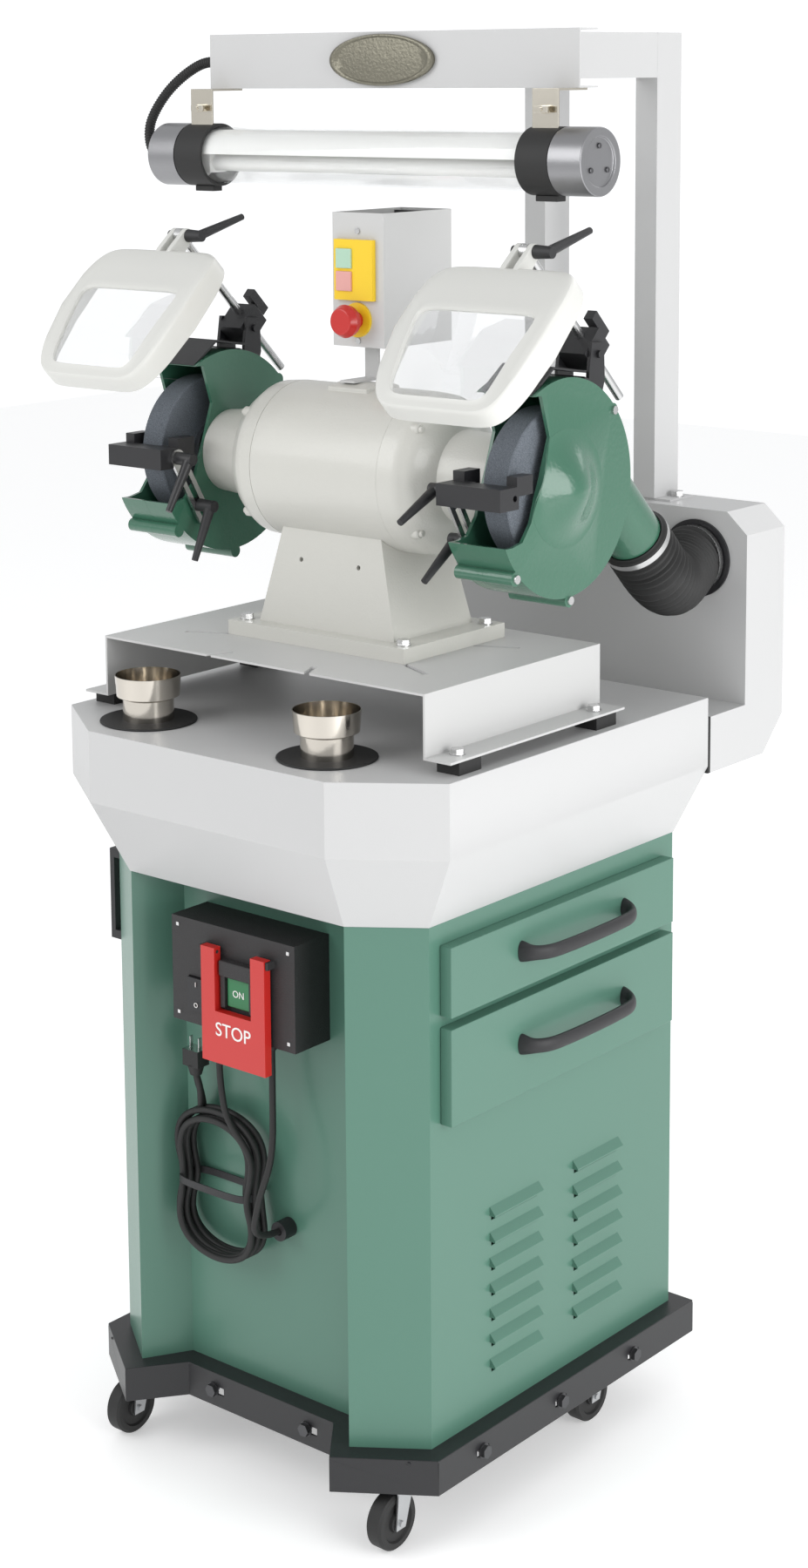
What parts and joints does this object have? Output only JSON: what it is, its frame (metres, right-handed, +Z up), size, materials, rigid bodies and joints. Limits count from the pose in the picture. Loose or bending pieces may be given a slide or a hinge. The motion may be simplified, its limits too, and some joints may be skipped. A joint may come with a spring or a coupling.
{
  "type": "bench grinder",
  "caption": "Bench grinder on a wheeled dust-collecting cabinet stand, with eye shields, tool rests, drawers, switch boxes and a work light on a rear frame",
  "frame": {"origin": "Centre of the footprint, on the floor under the caster wheels", "axes": "+X to the user's right along the grinder shaft, +Y to the back, +Z up"},
  "size_m": [0.8386, 0.847, 1.926],
  "materials": {
    "black_metal": "satin",
    "grey_metal": "satin",
    "black_rubber": "matte",
    "green_paint": "gloss",
    "grey_paint": "satin",
    "nickel": "polished",
    "clear_plastic": "clear",
    "white_plastic": "gloss",
    "black_plastic": "matte",
    "white_paint": "satin",
    "cream_paint": "satin",
    "copper_steel": "matte",
    "steel": "brushed",
    "grinding_stone": "rough",
    "hammered_green": "hammered",
    "cream_plastic": "gloss",
    "green_plastic": "gloss",
    "red_plastic": "gloss",
    "stainless": "brushed",
    "black_cord": "matte"
  },
  "bodies": {
    "machine_frame": {"mobile_base": "black_metal", "cabinet_shell": "green_paint", "upper_housing": "grey_paint", "rear_duct": "grey_paint", "dust_hoses": "black_rubber", "light_frame": "grey_paint", "lamp_brackets": "nickel", "lamp_conduit": "black_plastic", "bench_shelf": "white_paint", "pedestal": "cream_paint", "motor_shell": "cream_paint", "end_bells": "cream_paint", "stator": "copper_steel", "inner_guards": "hammered_green", "guard_covers": "hammered_green", "shield_brackets": "black_metal", "control_box": "white_paint", "switch_box": "black_plastic", "fasteners": "steel", "dust_blower": "grey_paint", "mains_cord": "black_cord", "cord_hank": "black_cord", "plug": "black_cord", "link_cord": "black_cord"},
    "arbor_body": {"arbor": "steel", "grinding_wheels": "grinding_stone"},
    "impeller_body": {"blower_impeller": "steel"},
    "fork_front_left": {"caster_fork_front_left": "grey_metal"},
    "wheel_front_left": {"caster_wheel_front_left": "black_rubber"},
    "fork_front_right": {"caster_fork_front_right": "grey_metal"},
    "wheel_front_right": {"caster_wheel_front_right": "black_rubber"},
    "fork_rear_left": {"caster_fork_rear_left": "grey_metal"},
    "wheel_rear_left": {"caster_wheel_rear_left": "black_rubber"},
    "fork_rear_right": {"caster_fork_rear_right": "grey_metal"},
    "wheel_rear_right": {"caster_wheel_rear_right": "black_rubber"},
    "upper_drawer_body": {"upper_drawer": "green_paint"},
    "lower_drawer_body": {"lower_drawer": "green_paint"},
    "pivot_left": {"pivot_block_left": "black_plastic"},
    "rod_left": {"shield_rod_left": "steel"},
    "shield_left": {"eye_shield_left": "cream_plastic"},
    "lever_left": {"shield_lever_left": "black_plastic"},
    "arm_left": {"rest_arm_left": "steel"},
    "rest_left": {"tool_rest_left": "black_metal"},
    "cup_left": {"quench_cup_left": "stainless"},
    "pivot_right": {"pivot_block_right": "black_plastic"},
    "rod_right": {"shield_rod_right": "steel"},
    "shield_right": {"eye_shield_right": "cream_plastic"},
    "lever_right": {"shield_lever_right": "black_plastic"},
    "arm_right": {"rest_arm_right": "steel"},
    "rest_right": {"tool_rest_right": "black_metal"},
    "cup_right": {"quench_cup_right": "stainless"},
    "start_button_body": {"start_button": "green_plastic"},
    "stop_button_body": {"stop_button": "red_plastic"},
    "estop_button_body": {"estop_button": "red_plastic"},
    "on_button_body": {"on_button": "green_plastic"},
    "rocker_body": {"rocker_switch": "black_plastic"},
    "paddle_body": {"stop_paddle": "red_plastic"},
    "lamp_body": {"lamp_tube": "clear_plastic", "fluorescent_tube": "white_plastic"}
  },
  "joints": [
    {"name": "arbor_spin", "type": "hinge", "parent": "machine_frame", "child": "arbor_body", "pos_m": [0, -0.1015, 1.355], "axis": [1, 0, 0], "continuous": true},
    {"name": "impeller_spin", "type": "hinge", "parent": "machine_frame", "child": "impeller_body", "pos_m": [-0.06, -0.0435, 0.34], "axis": [0, 0, 1], "continuous": true},
    {"name": "caster_swivel_front_left", "type": "hinge", "parent": "machine_frame", "child": "fork_front_left", "pos_m": [-0.236, -0.3225, 0.115], "axis": [0, 0, 1], "continuous": true},
    {"name": "caster_roll_front_left", "type": "hinge", "parent": "fork_front_left", "child": "wheel_front_left", "pos_m": [-0.236, -0.3445, 0.0375], "axis": [1, 0, 0], "continuous": true},
    {"name": "caster_swivel_front_right", "type": "hinge", "parent": "machine_frame", "child": "fork_front_right", "pos_m": [0.236, -0.3225, 0.115], "axis": [0, 0, 1], "continuous": true},
    {"name": "caster_roll_front_right", "type": "hinge", "parent": "fork_front_right", "child": "wheel_front_right", "pos_m": [0.236, -0.3445, 0.0375], "axis": [1, 0, 0], "continuous": true},
    {"name": "caster_swivel_rear_left", "type": "hinge", "parent": "machine_frame", "child": "fork_rear_left", "pos_m": [-0.236, 0.1055, 0.115], "axis": [0, 0, 1], "continuous": true},
    {"name": "caster_roll_rear_left", "type": "hinge", "parent": "fork_rear_left", "child": "wheel_rear_left", "pos_m": [-0.236, 0.0835, 0.0375], "axis": [1, 0, 0], "continuous": true},
    {"name": "caster_swivel_rear_right", "type": "hinge", "parent": "machine_frame", "child": "fork_rear_right", "pos_m": [0.236, 0.1055, 0.115], "axis": [0, 0, 1], "continuous": true},
    {"name": "caster_roll_rear_right", "type": "hinge", "parent": "fork_rear_right", "child": "wheel_rear_right", "pos_m": [0.236, 0.0835, 0.0375], "axis": [1, 0, 0], "continuous": true},
    {"name": "upper_drawer_slide", "type": "slide", "parent": "machine_frame", "child": "upper_drawer_body", "axis": [1, 0, 0], "range_m": [0, 0.35]},
    {"name": "lower_drawer_slide", "type": "slide", "parent": "machine_frame", "child": "lower_drawer_body", "axis": [1, 0, 0], "range_m": [0, 0.35]},
    {"name": "pivot_tilt_left", "type": "hinge", "parent": "machine_frame", "child": "pivot_left", "pos_m": [-0.297, -0.0215, 1.517], "axis": [1, 0, 0], "range_deg": [-5, 12]},
    {"name": "rod_slide_left", "type": "slide", "parent": "pivot_left", "child": "rod_left", "axis": [0, -0.7071, 0.7071], "range_m": [-0.03, 0.04]},
    {"name": "shield_tilt_left", "type": "hinge", "parent": "rod_left", "child": "shield_left", "pos_m": [-0.297, -0.13747, 1.65277], "axis": [1, 0, 0], "range_deg": [-60, 8]},
    {"name": "shield_lever_turn_left", "type": "hinge", "parent": "rod_left", "child": "lever_left", "pos_m": [-0.297, -0.13747, 1.65277], "axis": [1, 0, 0], "range_deg": [-35, 10]},
    {"name": "rest_arm_slide_left", "type": "slide", "parent": "machine_frame", "child": "arm_left", "axis": [0, 0.5, -0.866], "range_m": [-0.012, 0.008]},
    {"name": "tool_rest_tilt_left", "type": "hinge", "parent": "arm_left", "child": "rest_left", "pos_m": [-0.236, -0.2155, 1.357], "axis": [1, 0, 0], "range_deg": [-12, 20]},
    {"name": "cup_lift_left", "type": "slide", "parent": "machine_frame", "child": "cup_left", "axis": [0, -0.8, 0.6], "range_m": [0, 0.12]},
    {"name": "pivot_tilt_right", "type": "hinge", "parent": "machine_frame", "child": "pivot_right", "pos_m": [0.297, -0.0215, 1.517], "axis": [1, 0, 0], "range_deg": [-5, 12]},
    {"name": "rod_slide_right", "type": "slide", "parent": "pivot_right", "child": "rod_right", "axis": [0, -0.7071, 0.7071], "range_m": [-0.03, 0.04]},
    {"name": "shield_tilt_right", "type": "hinge", "parent": "rod_right", "child": "shield_right", "pos_m": [0.297, -0.13747, 1.65277], "axis": [1, 0, 0], "range_deg": [-60, 8]},
    {"name": "shield_lever_turn_right", "type": "hinge", "parent": "rod_right", "child": "lever_right", "pos_m": [0.297, -0.13747, 1.65277], "axis": [1, 0, 0], "range_deg": [-35, 10]},
    {"name": "rest_arm_slide_right", "type": "slide", "parent": "machine_frame", "child": "arm_right", "axis": [0, 0.5, -0.866], "range_m": [-0.012, 0.008]},
    {"name": "tool_rest_tilt_right", "type": "hinge", "parent": "arm_right", "child": "rest_right", "pos_m": [0.236, -0.2155, 1.357], "axis": [1, 0, 0], "range_deg": [-12, 20]},
    {"name": "cup_lift_right", "type": "slide", "parent": "machine_frame", "child": "cup_right", "axis": [0, -0.8, 0.6], "range_m": [0, 0.12]},
    {"name": "start_press", "type": "slide", "parent": "machine_frame", "child": "start_button_body", "axis": [0, 1, 0], "range_m": [0, 0.003], "stiffness_N_per_m": 400},
    {"name": "stop_press", "type": "slide", "parent": "machine_frame", "child": "stop_button_body", "axis": [0, 1, 0], "range_m": [0, 0.003], "stiffness_N_per_m": 400},
    {"name": "estop_press", "type": "slide", "parent": "machine_frame", "child": "estop_button_body", "axis": [0, 1, 0], "range_m": [0, 0.005], "stiffness_N_per_m": 400},
    {"name": "on_press", "type": "slide", "parent": "machine_frame", "child": "on_button_body", "axis": [0, 1, 0], "range_m": [0, 0.004], "stiffness_N_per_m": 400},
    {"name": "rocker_tilt", "type": "hinge", "parent": "machine_frame", "child": "rocker_body", "pos_m": [-0.062, -0.3715, 0.6805], "axis": [1, 0, 0], "range_deg": [-6, 6]},
    {"name": "paddle_swing", "type": "hinge", "parent": "machine_frame", "child": "paddle_body", "pos_m": [0.014, -0.3835, 0.751], "axis": [1, 0, 0], "range_deg": [-45, 1]},
    {"name": "lamp_turn", "type": "hinge", "parent": "machine_frame", "child": "lamp_body", "pos_m": [0, -0.0835, 1.762], "axis": [1, 0, 0], "range_deg": [-45, 45]}
  ]
}
